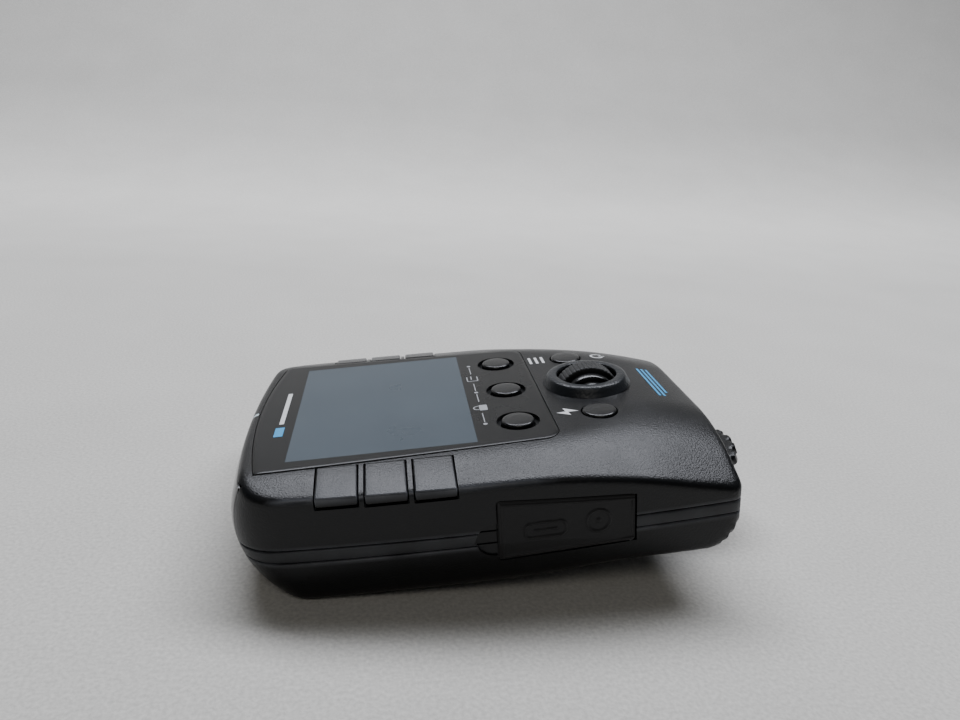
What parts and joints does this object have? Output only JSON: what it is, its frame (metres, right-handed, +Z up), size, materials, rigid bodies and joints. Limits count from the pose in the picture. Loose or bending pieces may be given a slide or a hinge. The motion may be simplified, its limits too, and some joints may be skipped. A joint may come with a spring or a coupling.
{
  "type": "wireless flash trigger",
  "caption": "Wedge-shaped radio flash trigger with a flat screen, thumb wheel, press keys, a rubber port cover and a lockable accessory-shoe foot.",
  "frame": {"origin": "centre of the bounding box at the table surface that the part rests on", "axes": "+X towards the foot end, +Y across the body to its far side, +Z up"},
  "size_m": [0.1042, 0.0684, 0.0334],
  "materials": {
    "shell_abs": "moulded black ABS with a fine spark texture",
    "band_abs": "moulded black ABS, satin",
    "gloss_panel": "polished black plastic",
    "light_pipe": "clear acrylic with a milky cast",
    "lens_panel": "smoke-tinted hard-coated acrylic",
    "display_glass": "unlit display glass behind the lens",
    "tinned_steel": "tinned sheet steel",
    "flex_film": "amber polyimide film",
    "bezel_abs": "black ABS with a coarser texture",
    "wheel_plastic": "smooth black plastic",
    "wheel_rubber": "ribbed black rubber",
    "bright_steel": "turned steel",
    "natural_nylon": "natural nylon",
    "black_nylon": "black nylon",
    "key_rubber": "coated black key tops",
    "circuit_board": "green solder-masked laminate",
    "switch_plastic": "pale switch bodies",
    "gold_brass": "gold-plated brass",
    "battery_foil": "laminated aluminium pouch",
    "foam_pad": "closed-cell foam tape",
    "cover_rubber": "soft black rubber",
    "shoe_metal": "nickel-plated steel",
    "lock_plastic": "scalloped black plastic",
    "black_screw": "black-oxide steel",
    "label_film": "blank satin label"
  },
  "bodies": {
    "body": {"upper_shell": "shell_abs", "middle_band": "band_abs", "lower_shell": "shell_abs", "end_panel": "gloss_panel", "status_light_pipe": "light_pipe", "screen_overlay": "lens_panel", "display_glass": "display_glass", "display_frame": "tinned_steel", "display_flex": "flex_film", "dial_bezel": "bezel_abs", "main_board": "circuit_board", "switches": "switch_plastic", "antenna": "gold_brass", "radio_shield": "tinned_steel", "battery_cell": "battery_foil", "battery_pad": "foam_pad", "buzzer": "black_nylon", "port_board": "circuit_board", "usb_socket": "tinned_steel", "sync_jack": "black_nylon", "port_cover_pin": "bright_steel", "foot_pedestal": "shell_abs", "foot_stem": "shoe_metal", "shoe_plate": "shoe_metal", "shoe_insulator": "black_nylon", "contact_pins": "gold_brass", "housing_screws": "black_screw", "rating_label": "label_film"},
    "function_key_near": {"function_key_near": "key_rubber"},
    "function_key_middle": {"function_key_middle": "key_rubber"},
    "function_key_far": {"function_key_far": "key_rubber"},
    "menu_key": {"menu_key": "key_rubber"},
    "test_key": {"test_key": "key_rubber"},
    "group_key_near_1": {"group_key_near_1": "key_rubber"},
    "group_key_near_2": {"group_key_near_2": "key_rubber"},
    "group_key_near_3": {"group_key_near_3": "key_rubber"},
    "group_key_far_1": {"group_key_far_1": "key_rubber"},
    "group_key_far_2": {"group_key_far_2": "key_rubber"},
    "group_key_far_3": {"group_key_far_3": "key_rubber"},
    "wheel_carriage": {"wheel_carrier": "natural_nylon", "wheel_encoder": "black_nylon"},
    "thumb_wheel": {"wheel_hub": "wheel_plastic", "wheel_tyre": "wheel_rubber", "wheel_axle": "bright_steel"},
    "port_cover": {"port_cover": "cover_rubber"},
    "lock_wheel": {"lock_wheel": "lock_plastic"},
    "clamp": {"clamp_plate": "shoe_metal", "lock_pin": "bright_steel"}
  },
  "joints": [
    {"name": "function_key_near_press", "type": "slide", "parent": "body", "child": "function_key_near", "axis": [0.122, 0, -0.9925], "range_m": [0, 0.0004], "stiffness_N_per_m": 400, "springref_m": -0.0005},
    {"name": "function_key_middle_press", "type": "slide", "parent": "body", "child": "function_key_middle", "axis": [0.122, 0, -0.9925], "range_m": [0, 0.0004], "stiffness_N_per_m": 400, "springref_m": -0.0005},
    {"name": "function_key_far_press", "type": "slide", "parent": "body", "child": "function_key_far", "axis": [0.122, 0, -0.9925], "range_m": [0, 0.0004], "stiffness_N_per_m": 400, "springref_m": -0.0005},
    {"name": "menu_key_press", "type": "slide", "parent": "body", "child": "menu_key", "axis": [0.122, 0, -0.9925], "range_m": [0, 0.0004], "stiffness_N_per_m": 400, "springref_m": -0.0005},
    {"name": "test_key_press", "type": "slide", "parent": "body", "child": "test_key", "axis": [0.122, 0, -0.9925], "range_m": [0, 0.0004], "stiffness_N_per_m": 400, "springref_m": -0.0005},
    {"name": "group_key_near_1_press", "type": "slide", "parent": "body", "child": "group_key_near_1", "axis": [0.122, 0, -0.9925], "range_m": [0, 0.0004], "stiffness_N_per_m": 400, "springref_m": -0.0005},
    {"name": "group_key_near_2_press", "type": "slide", "parent": "body", "child": "group_key_near_2", "axis": [0.122, 0, -0.9925], "range_m": [0, 0.0004], "stiffness_N_per_m": 400, "springref_m": -0.0005},
    {"name": "group_key_near_3_press", "type": "slide", "parent": "body", "child": "group_key_near_3", "axis": [0.122, 0, -0.9925], "range_m": [0, 0.0004], "stiffness_N_per_m": 400, "springref_m": -0.0005},
    {"name": "group_key_far_1_press", "type": "slide", "parent": "body", "child": "group_key_far_1", "axis": [0.122, 0, -0.9925], "range_m": [0, 0.0004], "stiffness_N_per_m": 400, "springref_m": -0.0005},
    {"name": "group_key_far_2_press", "type": "slide", "parent": "body", "child": "group_key_far_2", "axis": [0.122, 0, -0.9925], "range_m": [0, 0.0004], "stiffness_N_per_m": 400, "springref_m": -0.0005},
    {"name": "group_key_far_3_press", "type": "slide", "parent": "body", "child": "group_key_far_3", "axis": [0.122, 0, -0.9925], "range_m": [0, 0.0004], "stiffness_N_per_m": 400, "springref_m": -0.0005},
    {"name": "thumb_wheel_press", "type": "slide", "parent": "body", "child": "wheel_carriage", "axis": [0.122, 0, -0.9925], "range_m": [0, 0.0004], "stiffness_N_per_m": 800, "springref_m": -0.0005},
    {"name": "thumb_wheel_turn", "type": "hinge", "parent": "wheel_carriage", "child": "thumb_wheel", "pos_m": [0.01764, 0, 0.0265], "axis": [0, 1, 0], "continuous": true},
    {"name": "port_cover_swing", "type": "hinge", "parent": "body", "child": "port_cover", "pos_m": [0.01819, -0.0327, 0.0175], "axis": [-0.122, 0, 0.9925], "range_deg": [0, 95]},
    {"name": "lock_wheel_turn", "type": "hinge", "parent": "body", "child": "lock_wheel", "pos_m": [0.03847, 0, 0.01113], "axis": [0.4541, 0, -0.891], "range_deg": [0, 360]},
    {"name": "clamp_slide", "type": "slide", "parent": "body", "child": "clamp", "axis": [0.4541, 0, -0.891], "range_m": [0, 0.0012]}
  ],
  "couplings": [
    {"joint": "lock_wheel_turn", "follows": "clamp_slide", "rad_per_m": 5236}
  ]
}
